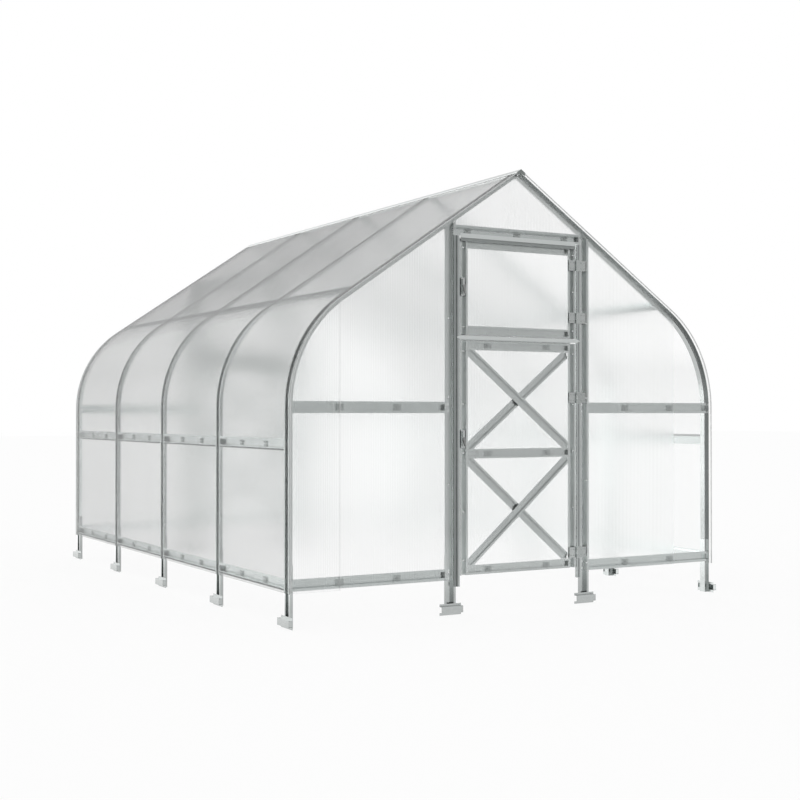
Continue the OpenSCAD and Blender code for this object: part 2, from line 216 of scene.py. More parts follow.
def steel(name, colour, rough=0.21, spangle=0.02, high=1.0, **painted_shares):
    """Galvanised steel: zinc crystals a centimetre across, faint blotches and a fine grain. It is
    paler just above the feet, a painted highlight where the floor lights it. High is painted
    light: how much paler it is in the roof. The shares are painted light and shade: how much
    paler or darker it is in the zones of the table of shares."""
    n = Material(name)
    crystals = n.add("ShaderNodeTexVoronoi", Vector=n.scaled((1, 1, 1)), Scale=95.0)
    grey = n.add("ShaderNodeSeparateColor", Color=crystals.outputs["Color"]).outputs
    dark = tuple(c * (1 - spangle) for c in colour)
    light = tuple(min(c * (1 + spangle), 1) for c in colour)
    shade = n.times(n.ramp(grey["Red"], [(0.0, dark), (1.0, light)]),
                    n.ramp(n.noise(7.0, 4.0), [(0.3, 0.96), (0.7, 1.0)]))
    # Painted light: paler just above the feet, and in the roof.
    shade = n.times(shade, n.ramp(n.along("Z", RIDGE_Z), [
        (0.04, 1.0), (0.07, 1.15), (0.12, 1.15), (0.18, 1.0), (0.50, 1.0), (0.62, high)]))
    # Painted light and shade: each share in its zones.
    for share, zones in PAINTED_LIGHT_SHARES.items():
        if share in painted_shares:
            zone = functools.reduce(n.times, [PAINTED_LIGHT_ZONES[z](n) for z in zones])
            shade = n.times(shade, n.ramp(zone, [(0.0, 1.0), (1.0, painted_shares[share])]))
    return n.surface(Base_Color=shade, Metallic=1.0,
                     Roughness=n.spread(grey["Green"], 0.0, 1.0, rough - 0.02, rough + 0.03),
                     Normal=n.bump(n.noise(420.0, 2.0), 0.03, 0.0003))


def twin_wall(name, across, colour, rough, ior, ripple, tint, painted_light_by_height, left=1.0, front=1.0):
    """Clear twin-wall sheet. Its faces ripple a little over the webs, across the flutes. Its tint goes
    by the angle it is looked through. Painted light and shade go by height, and sheets at the left,
    and the front ones of the roof, have shares of painted light and shade of their own."""
    n = Material(name)
    facing = n.add("ShaderNodeLayerWeight", Blend=0.5).outputs["Facing"]
    depth = n.ramp(facing, [(at, tuple(share * c for c in colour)) for at, share in tint])
    # Painted light and shade by height.
    shade = n.times(depth, n.ramp(n.along("Z", RIDGE_Z), painted_light_by_height))
    # Painted shade on the sheets at the left.
    if left != 1.0:
        shade = n.times(shade, n.ramp(n.along("X", -HALF_W), [(0.25, 1.0), (0.35, left)]))
    # Painted light on the front roof sheets, high up.
    if front != 1.0:
        bay = n.times(n.ramp(n.along("Y", -END_Y), [(0.45, 0.0), (0.52, 1.0)]),
                      n.ramp(n.along("Z", RIDGE_Z), [(0.60, 0.0), (0.75, 1.0)]))
        shade = n.times(shade, n.ramp(bay, [(0.0, 1.0), (1.0, front)]))
    shade.node.clamp_result = True
    wave = n.add("ShaderNodeTexWave", wave_type="BANDS", bands_direction=across, wave_profile="SIN",
                 Vector=n.scaled((1, 1, 1)), Scale=math.pi / 10 / FLUTE)    # one wave to a flute
    patches = n.ramp(n.noise(1.0, 2.0, (9, 9, 0)), [(0.42, 0.25), (0.58, 1.0)])
    return n.surface(Base_Color=shade, Transmission_Weight=1.0, Roughness=rough, IOR=ior,
                     Normal=n.bump(n.times(wave.outputs["Color"], patches), ripple, 0.0012))


def uneven(n, at, share, colour, scale, detail, stretch=(1, 1, 1)):
    """A colour with darker patches, where the noise is below the two heights of at."""
    dark = tuple(share * c for c in colour)
    return n.ramp(n.noise(scale, detail, stretch), [(at[0], dark), (at[1], colour)])


def plastic(name, colour, rough, clear=0.0):
    """Moulded plastic with a fine grain and slightly uneven colour."""
    n = Material(name)
    return n.surface(Base_Color=uneven(n, (0.3, 0.7), 0.88, colour, 30.0, 4.0), Roughness=rough,
                     Transmission_Weight=clear, Normal=n.bump(n.noise(600.0, 2.0), 0.12, 0.0003))


def web(name, colour, stretch, share):
    """Webs inside a sheet. Their shade changes from web to web, and slowly along each one."""
    n = Material(name)
    return n.surface(Base_Color=uneven(n, (0.36, 0.56), share, colour, 1.0, 1.0, stretch),
                     Transmission_Weight=0.97, Roughness=0.25, IOR=1.03)


# Painted light and shade on the steel, which is all one zinc. The inner arches, wall rails, eave
# rails, feet and ridge rails are paler copies, lit by the side light and the floor, and the inner
# arches are paler still in the roof. The door and window leaves are darker copies, in the shade of the
# strips over them, and the jamb strips are darker copies too, in shade beside the doors. The shares
# make the right-hand arches, stakes and feet paler, the inner arches paler and the wall rails a little
# darker where they look into the house on the right, the right base rails paler, the faces of the rear
# gable that look to the front paler, and the fronts of the right-hand arches and stakes below the
# eaves darker.
ARCH = steel("arch_zinc", (0.46, 0.480, 0.475), right=1.18, rear=1.9, shaded=0.45)
INNER_ARCH = steel("inner_arch_zinc", (0.50, 0.525, 0.52), high=1.4, inside=1.75, rear=1.75)
RAIL = steel("rail_zinc", (0.455, 0.480, 0.475), rear=1.9)
WALL_RAIL = steel("wall_rail_zinc", (0.52, 0.545, 0.54), inside=0.95, base=1.45)
EAVE_RAIL = steel("eave_rail_zinc", (0.70, 0.73, 0.725))
LEAF = steel("leaf_zinc", (0.43, 0.450, 0.445), rear=1.9)
STAKE = steel("stake_zinc", (0.45, 0.47, 0.465), right=1.7, shaded=0.45)
FOOT = steel("foot_zinc", (0.49, 0.51, 0.505), right=1.6)
JAMB = steel("jamb_zinc", (0.39, 0.412, 0.408))
LIGHT = steel("light_zinc", (0.58, 0.605, 0.60), rough=0.34, spangle=0.01)
RIDGE = steel("ridge_zinc", (0.70, 0.72, 0.715), rough=0.3)
RIDGE_END = steel("ridge_end_zinc", (0.22, 0.235, 0.23))
RIDGE_RAIL = steel("ridge_rail_zinc", (0.80, 0.82, 0.815), rough=0.35)
FITTING = steel("fitting_zinc", (0.41, 0.43, 0.425), rough=0.28)
BRACKET = steel("bracket_zinc", (0.35, 0.37, 0.365), rough=0.28)
LATCH = steel("latch_dark", (0.42, 0.44, 0.435))
CLAMP = steel("clamp_zinc", (0.34, 0.36, 0.355), rough=0.3)
BOLT = steel("bolt_zinc", (0.74, 0.76, 0.755), rough=0.16, spangle=0.04)
LEVER = plastic("lever_black", (0.27, 0.28, 0.275), 0.42)
PLUG = plastic("plug_grey", (0.40, 0.42, 0.415), 0.5)
# Dark strips: painted shade under the drip strips and on the posts beside the jamb strips, and dark
# strips on the jamb strips' outer halves.
DARK_STRIP = plastic("dark_strip_grey", (0.27, 0.29, 0.287), 0.55)
EDGE = plastic("edge_cap_clear", (0.76, 0.77, 0.765), 0.38)
# The left edge caps are a darker copy of the right ones: painted shade.
EDGE_SHADED = plastic("edge_cap_painted_shade", (0.55, 0.57, 0.565), 0.38)
# Joining strips of the gables, and painted shade behind the upper flanges of the wall rails.
JOINT_AND_SHADE = plastic("joint_and_shade_clear", (0.84, 0.85, 0.845), 0.38)
SWEEP = plastic("sweep_milky", (0.80, 0.82, 0.815), 0.6, clear=0.6)
# Painted shade: dark strips on the lower flanges of the wall rails.
RAIL_SHADE = plastic("rail_shade_grey", (0.30, 0.31, 0.308), 0.6)
# Their tints by height, and the left and front shares, are painted light and shade.
GABLE = twin_wall(
    "gable_twin_wall", "X", (0.997, 1.0, 0.999), rough=0.57, ior=1.07, ripple=0.60, left=0.97,
    tint=[(0.38, 1.0), (0.5, 0.93), (0.66, 0.78), (0.84, 0.56), (0.9, 0.42)],
    painted_light_by_height=[(0.81, 1.0), (0.88, 0.93)])
ROOF = twin_wall(
    "roof_twin_wall", "Y", (0.99, 0.995, 0.993), rough=0.23, ior=1.09, ripple=0.06, front=1.18,
    tint=[(0.38, 1.0), (0.5, 0.86), (0.605, 0.69), (0.711, 0.585), (0.80, 0.55), (0.821, 0.470),
          (0.837, 0.440), (0.86, 0.355), (0.88, 0.30), (0.92, 0.25)],
    painted_light_by_height=[(0.36, 1.0), (0.42, 0.95), (0.56, 0.925), (0.70, 1.18), (0.85, 1.19), (0.95, 1.35)])
WEB = web("gable_web", (0.99, 1.0, 0.998), (60, 60, 0.25), 0.88)
# The roof's webs are a darker copy of the gable's: painted shade.
ROOF_WEB = web("roof_web", (0.88, 0.89, 0.888), (0.25, 60, 0.25), 0.97)

# The material of each CAD node is that of the first row with a word that is in its name.
LOOKS = [
    (ROOF, ("sheet",)), (GABLE, ("pane",)), (LIGHT, ("transom_strips", "drip_strips")),
    (JAMB, ("jamb_strips",)), (RIDGE, ("ridge_cap",)),
    (LEAF, ("door_rails", "door_braces", "window_frame", "rear_leaf_frames", "rear_braces")),
    (LATCH, ("door_latch",)), (BRACKET, ("door_hinge_brackets",)), (FITTING, ("fittings", "hinge")),
    (FOOT, ("feet",)), (STAKE, ("stakes",)), (INNER_ARCH, ("arch_2", "arch_3", "arch_4", "arch_5")),
    (RIDGE_RAIL, ("ridge_rails",)), (WALL_RAIL, ("wall_rails",)), (EAVE_RAIL, ("eave_rails",)),
    (RAIL, ("rails",)), (ARCH, ("",)),
]


def finish_nodes():
    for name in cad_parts:
        mat = next(mat for mat, words in LOOKS if any(word in name for word in words))
        for slot in bpy.data.objects[name].material_slots:
            slot.material = mat


# ---------- webs of the twin-wall sheets ----------

def gable_webs(name, spans, body="house", sign=1):
    """Upright webs of gable sheets. Each span is (from_x, to_x, low, top), top a function of x."""
    y0 = -END_Y - SEAT - SHEET_T + SKIN
    y1 = -END_Y - SEAT - SKIN
    verts, faces = [], []
    for from_x, to_x, low, top in spans:
        count = int((to_x - from_x) / FLUTE)
        start = (from_x + to_x - (count - 1) * FLUTE) / 2
        for k in range(count):
            x = start + k * FLUTE
            z = top(x) - WEB_END
            if z - low < WEB_LEAST:
                continue
            i = len(verts)
            verts += [(sign * x, sign * y0, low + WEB_END), (sign * x, sign * y1, low + WEB_END),
                      (sign * x, sign * y1, z), (sign * x, sign * y0, z)]
            faces.append((i, i + 1, i + 2, i + 3))
    mesh_piece(name, verts, faces, WEB, body)


def roof_webs(name, side, from_y, to_y):
    inner = outline_path(-SEAT - SKIN, SKIRT_Z + WEB_END, RIDGE_GAP)
    outer = outline_path(-SEAT - SHEET_T + SKIN, SKIRT_Z + WEB_END, RIDGE_GAP)
    count = int((to_y - from_y) / FLUTE)
    start = (from_y + to_y - (count - 1) * FLUTE) / 2
    verts, faces = [], []
    for k in range(count):
        y = start + k * FLUTE
        i = len(verts)
        for a, b in zip(inner, outer):
            verts += [(side * a[0], y, a[1]), (side * b[0], y, b[1])]
        faces += [(i + j, i + j + 1, i + j + 3, i + j + 2) for j in range(0, 2 * len(inner) - 2, 2)]
    mesh_piece(name, verts, faces, ROOF_WEB, "house")


def under_outline(x):
    return outline_z(x, WEB_END)


def all_webs():
    wide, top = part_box("front_right_pane"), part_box("front_top_pane")
    post, low, seam = wide[0].x, wide[0].z, wide[1].x
    edge = HALF_W - WEB_END
    left = [(-seam, -post, low, under_outline), (-edge, -seam, SKIRT_Z, under_outline)]
    right = [(post, seam, low, under_outline)]
    corner = [(seam, edge, SKIRT_Z, under_outline)]
    peak = [(top[0].x, top[1].x, top[0].z, under_outline)]
    window, door = ([(pane[0].x, pane[1].x, pane[0].z, lambda x, z=pane[1].z: z)]
                    for pane in (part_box("window_pane"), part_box("door_pane")))
    gable_webs("front_left_webs", left)
    gable_webs("front_right_webs", right)
    gable_webs("front_top_webs", peak)
    gable_webs("rear_webs", left + right + corner + peak, sign=-1)
    gable_webs("window_webs", window)
    gable_webs("door_webs", door, "door")
    gable_webs("rear_leaf_webs", window + door, sign=-1)
    for side, word in ((-1, "left"), (1, "right")):
        for end in ("front", "rear"):
            low_corner, high_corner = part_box(f"{word}_{end}_sheet")
            roof_webs(f"{word}_{end}_sheet_webs", side, low_corner.y, high_corner.y)


# ---------- small parts, drawn on the faces of the house ----------
# On every face u runs to the right as it is looked at, v is height and w points out of the house.

FACES = {
    "front": lambda u, v, w: (u, -END_Y - w, v),
    "rear": lambda u, v, w: (-u, END_Y + w, v),
    "left": lambda u, v, w: (-HALF_W - w, -u, v),
    "right": lambda u, v, w: (HALF_W + w, u, v),
}
STEEL = 0.002
# Hat bars, as width, flange and depth: those of the frame, the head rails, and the door and windows.
BAR_W, BAR_FLANGE, BAR_D = BAR = 0.065, 0.015, 0.025
HEAD_BAR = 0.060, BAR_FLANGE, BAR_D
LEAF_W, LEAF_FLANGE, LEAF_D = LEAF_BAR = 0.055, 0.013, 0.020
POST_FLANGE = 0.017
TONGUE = BAR_FLANGE - STEEL - SEAT        # room for a rail behind a flange
BEHIND = 0.0004                           # how far what fills a channel stays behind its mouth
PANE = SEAT + SHEET_T                     # outer face of a sheet, from the steel
WALL_RAILS = (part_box("left_wall_rails")[0].z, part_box("left_wall_rails")[1].z - BAR_W)

# Clamps: their places from the middle of a bay or of the house, half heights and half length.
WALL_CLAMP, LEAF_CLAMP = 0.1675, 0.212
GABLE_CLAMPS, HEAD_CLAMPS = (0.822, 1.185), (-0.35, 0.0, 0.35)
BAR_JAWS, HEAD_JAWS, LEAF_JAWS = 0.0150, 0.0100, 0.0115
CLAMP_HALF = 0.023
JAW_SLOT, JAW_OUT = 0.0022, 0.0052        # half the slot between the jaws, and their height
KEY_U, KEY_V, KEY_OUT = 0.006, 0.0018, 0.0036       # the key in that slot: half sizes and height
PLUG_T = 0.0010
HEAD_PLUG = 0.0006                        # from the post's edge to the head rail's plug

# Screws and bolts: heights, and distances in from the edges of posts and rails.
POST_SCREWS, POST_SCREW_IN = (0.246, 0.749, 1.253, 1.707), 0.0235
JAMB_SCREWS, JAMB_SCREW_IN = (0.432, 0.9955, 1.369, 1.800), 0.010
BOLT_IN = 0.012
DOOR_SCREWS, WINDOW_SCREWS = (0.31, 0.589, 0.93, 1.213, 1.52), (1.66, 1.897, 2.12)
LEAF_SCREW_X = 0.3945
DOOR_MID_RAIL = 0.896

# Hinges and latches.
HINGES = {"door": (0.282, 1.222), "window": (1.707, 2.027)}     # lower ends of their leaves
HINGE_BREAK = (-0.004, 0.068)             # where a dark strip stops and goes on, above those
HINGE_SCREWS = (0.014, 0.050)             # and the screws
LEAF_SIDE, POST_SIDE = (0.378, 0.398), (0.457, 0.480)           # the screws across
HINGE_FACE = 0.0119                       # from the brackets' front back to the plates
LATCH_X = -0.399
LATCH_Z = {"door": 1.012, "window": 1.894}
LEVER_FROM, LEVER_TO, LEVER_CUT = 0.0031, 0.0072, 0.001         # out from the latch's plate

# Dark strips on the jamb strips, painted shade on the posts, under the drip strips and on the wall
# rails, sweeps, joints and caps, as (low, high) across, up or outwards.
JAMB_DARK_STRIP, POST_SHADE, HINGED_POST_SHADE = (0.4325, 0.4405), (0.4415, 0.4595), (0.4415, 0.4450)
DARK_STRIP_T = 0.0020
POST_SHADE_OUT = (0.0024, 0.0040)
DARK_STRIP_END = 0.0005                         # from a dark strip's end to the jamb strip's
DRIP_SHADE_HALF, DRIP_SHADE_H = 0.4125, 0.0185
SWEEP_HALF, SWEEP_H, SWEEP_BACK, SWEEP_T = 0.40, 0.034, 0.0075, 0.0020
SWEEP_TOP = (0.0005, 0.0045)
RAIL_SHADE_UP, RAIL_SHADE_OUT, RAIL_SHADE_END = (0.0005, 0.0095), (0.00005, 0.00025), 0.001
UPPER_SHADE_T = 0.0005
JOINT_HALF, JOINT_OUT, JOINT_TOP = 0.0013, 0.0009, 0.004
FOOT_CAP, FOOT_CAP_UP, FOOT_CAP_OUT = (0.0712, 0.0722), (0.0172, 0.0478), (SLIP, 0.0208)

# Turned outlines, as (radius, height) steps.
BOLT_HEAD = [(0.0080, 0.0), (0.0080, 0.0010), (0.0075, 0.0013), (0.0058, 0.0013), (0.0057, 0.0034),
             (0.0048, 0.0044), (0.0022, 0.0046), (0.0020, 0.0036)]
SCREW_HEAD = [(0.0044, 0.0), (0.0044, 0.0008), (0.0036, 0.0018), (0.0012, 0.0021), (0.0010, 0.0014)]
LATCH_BOSS = [(0.0085, 0.0), (0.0085, 0.0030), (0.0075, 0.0042), (0.0045, 0.0048), (0.0040, 0.0060)]
# A latch lever's middle line from its boss, as (across, up, half width).
LEVER_LINE = [(0.000, 0.006, 0.0060), (0.001, -0.012, 0.0055), (0.004, -0.030, 0.0045),
              (0.007, -0.044, 0.0035)]
# An edge cap's section, as (inset from the outline, distance past the sheet's edge).
CAP_SECTION = [(-SEAT + 0.0004, -0.0050), (-SEAT + 0.0004, 0.0008), (-PANE - 0.0005, 0.0008),
               (-PANE - 0.0005, -0.0050), (-PANE - 0.0001, -0.0050), (-PANE - 0.0001, 0.0001),
               (-SEAT + 0.0001, 0.0001), (-SEAT + 0.0001, -0.0050)]


class Build:
    """Collects the faces of one piece. Points are given on a face of the house."""

    def __init__(self, face):
        self.place = FACES[face]
        self.verts, self.faces = [], []

    def ring(self, points):
        start = len(self.verts)
        self.verts += [self.place(*p) for p in points]
        return list(range(start, len(self.verts)))

    def skin(self, a, b):
        n = len(a)
        self.faces += [(a[k], a[(k + 1) % n], b[(k + 1) % n], b[k]) for k in range(n)]

    def stack(self, rings):
        """Joins the rings one after another, and closes both ends."""
        for a, b in zip(rings, rings[1:]):
            self.skin(a, b)
        self.faces += [tuple(rings[0][::-1]), tuple(rings[-1])]

    def block(self, u, v, w, chamfer=0.0):
        """A block from its (low, high) in u, v and w, with its outer edges cut."""
        def rim(at, inset):
            (u0, u1), (v0, v1) = (u[0] + inset, u[1] - inset), (v[0] + inset, v[1] - inset)
            c = chamfer + CORNER
            return self.ring([(u0 + c, v0, at), (u1 - c, v0, at), (u1, v0 + c, at), (u1, v1 - c, at),
                              (u1 - c, v1, at), (u0 + c, v1, at), (u0, v1 - c, at), (u0, v0 + c, at)])
        rings = [rim(w[0], 0), rim(w[1] - chamfer, 0)]
        if chamfer:
            rings.append(rim(w[1], chamfer))
        self.stack(rings)

    def lathe(self, u, v, w, profile, segments=14):
        """Turns a profile about the outward line through u, v, from the surface at w."""
        turns = [2 * math.pi * k / segments for k in range(segments)]
        self.stack([self.ring([(u + r * math.cos(a), v + r * math.sin(a), w + h) for a in turns])
                    for r, h in profile])

    def done(self, name, mat, body="house", slot="fitting_steel"):
        mesh_piece(name, self.verts, self.faces, mat, body)


def clamp(build, u, v, depth, half_v):
    """The two jaws of a sheet clamp on a channel's floor, and the key in the slot between them."""
    floor = -(depth - STEEL)
    along = (u - CLAMP_HALF, u + CLAMP_HALF)
    for jaw in ((v - half_v, v - JAW_SLOT), (v + JAW_SLOT, v + half_v)):
        build.block(along, jaw, (floor + HAIR, floor + JAW_OUT), chamfer=0.0008)
    build.block((u - KEY_U, u + KEY_U), (v - KEY_V, v + KEY_V), (floor + HAIR, floor + KEY_OUT),
                chamfer=0.0006)


def rail_end(build, u, low, width, flange, depth):
    """The channel of a rail carried on behind the flange that its own flanges meet."""
    back = -depth
    build.block(u, (low + flange - STEEL, low + width - flange + STEEL), (back, back + STEEL))
    for v in (low + flange - STEEL, low + width - flange):
        build.block(u, (v, v + STEEL), (back + STEEL + HAIR, -STEEL - BEHIND))


def plug(build, u, low, width, flange, depth):
    """A plug that closes a rail's channel where it runs in behind a flange."""
    v = (low + flange + SEAT, low + width - flange - SEAT)
    build.block(u, v, (-depth + STEEL + HAIR, -BEHIND))


def leaf_ends(ends, plugs, lows):
    """Rail ends behind the stiles of a door or window, and their plugs, at the rails' lower edges."""
    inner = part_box("door_rails")[1].x
    for low in lows:
        for sign in (-1, 1):
            rail_end(ends, span(sign, inner + SLIP, inner + LEAF_FLANGE - STEEL), low, *LEAF_BAR)
            plug(plugs, span(sign, inner - PLUG_T, inner), low, *LEAF_BAR)


def leaf_screws(screws, heights):
    for sign in (-1, 1):
        for z in heights:
            screws.lathe(sign * LEAF_SCREW_X, z, PANE, SCREW_HEAD)


def side_parts():
    """Clamps and rail ends along both side walls, two clamps to a bay at each rail."""
    for face, sign in (("left", -1), ("right", 1)):
        clamps, ends = Build(face), Build(face)
        for a, b in zip(ARCHES, ARCHES[1:]):
            middle = (a[1].y + b[0].y) / 2
            for low in WALL_RAILS:
                for offset in (-WALL_CLAMP, WALL_CLAMP):
                    clamp(clamps, sign * (middle + offset), low + BAR_W / 2, BAR_D, BAR_JAWS)
                for y0, y1 in ((a[1].y - TONGUE, a[1].y), (b[0].y, b[0].y + TONGUE)):
                    u = span(sign, y0, y1)
                    rail_end(ends, (u[0] + SLIP, u[1] - SLIP), low, *BAR)
        clamps.done(f"{face}_rail_clamps", CLAMP)
        ends.done(f"{face}_rail_ends", WALL_RAIL, slot="rail_steel")


def gable_parts():
    """Clamps, rail ends and bolts on the two gables."""
    post_in, post_out = (corner.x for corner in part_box("front_right_post"))
    base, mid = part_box("gable_base_rails"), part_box("gable_mid_rails")
    rails = ((base[0].z, base[1].x), (mid[0].z, mid[1].x))
    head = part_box("head_rails")[0].z
    for face in ("front", "rear"):
        clamps, ends, bolts, plugs = (Build(face) for _ in range(4))
        for sign in (-1, 1):
            for low, tip in rails:
                for x in GABLE_CLAMPS:
                    clamp(clamps, sign * x, low + BAR_W / 2, BAR_D, BAR_JAWS)
                rail_end(ends, span(sign, post_out - POST_FLANGE + STEEL + SEAT, post_out), low, *BAR)
                plug(plugs, span(sign, post_out + SEAT, post_out + SEAT + PLUG_T), low, *BAR)
                u = span(sign, tip + SEAT, HALF_W - STEEL - SEAT)
                for v in (low, low + BAR_W - BAR_FLANGE):
                    ends.block(u, (v, v + BAR_FLANGE), (-STEEL, 0.0))
            for z in POST_SCREWS:
                bolts.lathe(sign * (post_out - POST_SCREW_IN), z, PANE, SCREW_HEAD)
            for z in JAMB_SCREWS:
                bolts.lathe(sign * (post_in + JAMB_SCREW_IN), z, HAIR, SCREW_HEAD)
            for low, _ in rails:
                for z in (low + BOLT_IN, low + BAR_W - BOLT_IN):
                    middle = sign * (post_in + post_out) / 2
                    bolts.lathe(middle, z, -(BAR_D - STEEL) + HAIR, BOLT_HEAD)
        for sign in (-1, 1):
            u = span(sign, post_in + SLIP, post_in + POST_FLANGE - STEEL - SEAT)
            rail_end(ends, u, head, *HEAD_BAR)
            u = span(sign, post_in - HEAD_PLUG - PLUG_T, post_in - HEAD_PLUG)
            plug(plugs, u, head, *HEAD_BAR)
        for x in HEAD_CLAMPS:
            clamp(clamps, x, head + HEAD_BAR[0] / 2, BAR_D, HEAD_JAWS)
        clamps.done(f"{face}_gable_clamps", CLAMP)
        ends.done(f"{face}_gable_rail_ends", RAIL, slot="rail_steel")
        bolts.done(f"{face}_gable_bolts", BOLT)
        plugs.done(f"{face}_gable_plugs", PLUG, slot="rail_steel")


def leaf_parts():
    """Clamps, rail ends and screws of the door and the windows. The front door's move with it."""
    door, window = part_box("door_stiles"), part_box("window_frame")
    door_rails = (door[0].z, DOOR_MID_RAIL, door[1].z - LEAF_W)
    window_rails = (window[0].z, window[1].z - LEAF_W)
    for face, body, name in (("front", "door", "door"), ("rear", "house", "rear_door")):
        clamps, ends, screws, plugs = (Build(face) for _ in range(4))
        for low in door_rails:
            for sign in (-1, 1):
                clamp(clamps, sign * LEAF_CLAMP, low + LEAF_W / 2, LEAF_D, LEAF_JAWS)
        leaf_ends(ends, plugs, door_rails)
        leaf_screws(screws, DOOR_SCREWS)
        clamps.done(f"{name}_clamps", CLAMP, body)
        ends.done(f"{name}_rail_ends", RAIL, body, "rail_steel")
        screws.done(f"{name}_screws", BOLT, body)
        plugs.done(f"{name}_plugs", PLUG, body, "rail_steel")
    for face in ("front", "rear"):
        ends, screws, plugs = (Build(face) for _ in range(3))
        leaf_ends(ends, plugs, window_rails)
        leaf_screws(screws, WINDOW_SCREWS)
        ends.done(f"{face}_window_rail_ends", RAIL, slot="rail_steel")
        screws.done(f"{face}_window_screws", BOLT)
        plugs.done(f"{face}_window_plugs", PLUG, slot="rail_steel")


def hinge_screws():
    """Four screws in each half of every hinge. Those in the front door's leaves move with it."""
    plate = -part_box("door_hinge_brackets")[0].y - END_Y - HINGE_FACE
    moving, still, rear = Build("front"), Build("front"), Build("rear")
    for leaf, lows in HINGES.items():
        for low in lows:
            for z in (low + up for up in HINGE_SCREWS):
                for x in LEAF_SIDE + POST_SIDE:
                    front = moving if leaf == "door" and x in LEAF_SIDE else still
                    for build in (front, rear):
                        build.lathe(x, z, plate, SCREW_HEAD, 10)
    moving.done("door_hinge_screws", CLAMP, "door")
    still.done("front_hinge_screws", CLAMP)
    rear.done("rear_hinge_screws", CLAMP)


def latch_levers():
    """On every latch a turned boss, with a bent lever that hangs from it."""
    out = -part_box("door_latch")[0].y - END_Y
    w0, w1, cut = out + LEVER_FROM, out + LEVER_TO, LEVER_CUT
    for name, face, body, leaf in (("door", "front", "door", "door"),
                                   ("window", "front", "house", "window"),
                                   ("rear_door", "rear", "house", "door"),
                                   ("rear_window", "rear", "house", "window")):
        b = Build(face)
        b.lathe(LATCH_X, LATCH_Z[leaf], out, LATCH_BOSS, 18)
        rings = []
        for du, dv, half in LEVER_LINE[::-1]:
            u, v = LATCH_X + du, LATCH_Z[leaf] + dv
            left, right = u - half, u + half
            rings.append(b.ring([(left, v, w0), (right, v, w0), (right, v, w1 - cut),
                                 (right - cut, v, w1), (left + cut, v, w1), (left, v, w1 - cut)]))
        b.stack(rings)
        b.done(f"{name}_latch_lever", LEVER, body)


def jamb_dark_strips():
    """Dark strips on the outer halves of the jamb strips, and painted shade on the posts beside them:
    dark strips where the jamb strips shade the posts' flanges. On the hinged side they are narrow
    beside the post, and broken where the hinges cross."""
    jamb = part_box("jamb_strips")
    out = -jamb[0].y - END_Y
    low_end, high_end = jamb[0].z + DARK_STRIP_END, jamb[1].z - DARK_STRIP_END
    breaks = [low + up for lows in HINGES.values() for low in lows for up in HINGE_BREAK]
    hinged = [low_end, *breaks, high_end]
    for face in ("front", "rear"):
        b = Build(face)
        for sign, stops, beside in ((-1, (low_end, high_end), POST_SHADE), (1, hinged, HINGED_POST_SHADE)):
            for v in zip(stops[::2], stops[1::2]):
                # A dark strip on the jamb strip's outer half, and painted shade beside it on the post.
                b.block(span(sign, *JAMB_DARK_STRIP), v, (out + HAIR, out + HAIR + DARK_STRIP_T), chamfer=0.0009)
                b.block(span(sign, *beside), v, POST_SHADE_OUT, chamfer=0.0006)
        b.done(f"{face}_jamb_dark_strips", DARK_STRIP, slot="jamb_steel")


def strip_shades():
    """Painted shade below the drip strips: dark strips where the drip strips shade the window
    frames. Milky sweeps behind the gaps over the doors.
    """
    drip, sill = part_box("drip_strips")[0].z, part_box("window_frame")[0].z
    back = -LEAF_D - SWEEP_BACK
    sweep_u, shade_u = (-SWEEP_HALF, SWEEP_HALF), (-DRIP_SHADE_HALF, DRIP_SHADE_HALF)
    for face in ("front", "rear"):
        drip_shade, sweep = Build(face), Build(face)
        # Painted shade: a dark strip below the drip strip, over the window frame.
        drip_shade.block(shade_u, (drip - DRIP_SHADE_H, drip - SEAT), (PANE + SLIP, PANE + SLIP + DARK_STRIP_T),
                   chamfer=0.0008)
        drip_shade.done(f"{face}_strip_shades", DARK_STRIP, slot="light_strip")
        sweep.block(sweep_u, (sill + SWEEP_TOP[0], sill + SWEEP_TOP[1]), (back, -STEEL - SEAT))
        sweep.block(sweep_u, (sill - SWEEP_H, sill + SEAT), (back, back + SWEEP_T), chamfer=0.0006)
        sweep.done(f"{face}_door_sweep", SWEEP, slot="light_strip")


def rail_shades():
    """Painted shade on the wall rails: dark strips between the lower flanges and the sheets, and pale
    strips behind the upper flanges of the middle ones, for the grey line of shade there."""
    upper = WALL_RAILS[1] + BAR_W
    for face, sign in (("left", -1), ("right", 1)):
        outer, inner = Build(face), Build(face)
        for a, b in zip(ARCHES, ARCHES[1:]):
            u = span(sign, a[1].y + RAIL_SHADE_END, b[0].y - RAIL_SHADE_END)
            for low in WALL_RAILS:
                # Painted shade: a dark strip along each rail's lower flange.
                outer.block(u, (low + RAIL_SHADE_UP[0], low + RAIL_SHADE_UP[1]), RAIL_SHADE_OUT)
            # Painted shade: a pale strip behind the middle rail's upper flange, for the grey line of
            # shade there.
            inner.block(u, (upper - BAR_FLANGE + STEEL, upper - SEAT),
                        (-STEEL - UPPER_SHADE_T, -STEEL - HAIR))
        outer.done(f"{face}_rail_shades", RAIL_SHADE, slot="rail_steel")
        inner.done(f"{face}_rail_upper_shades", JOINT_AND_SHADE, slot="rail_steel")


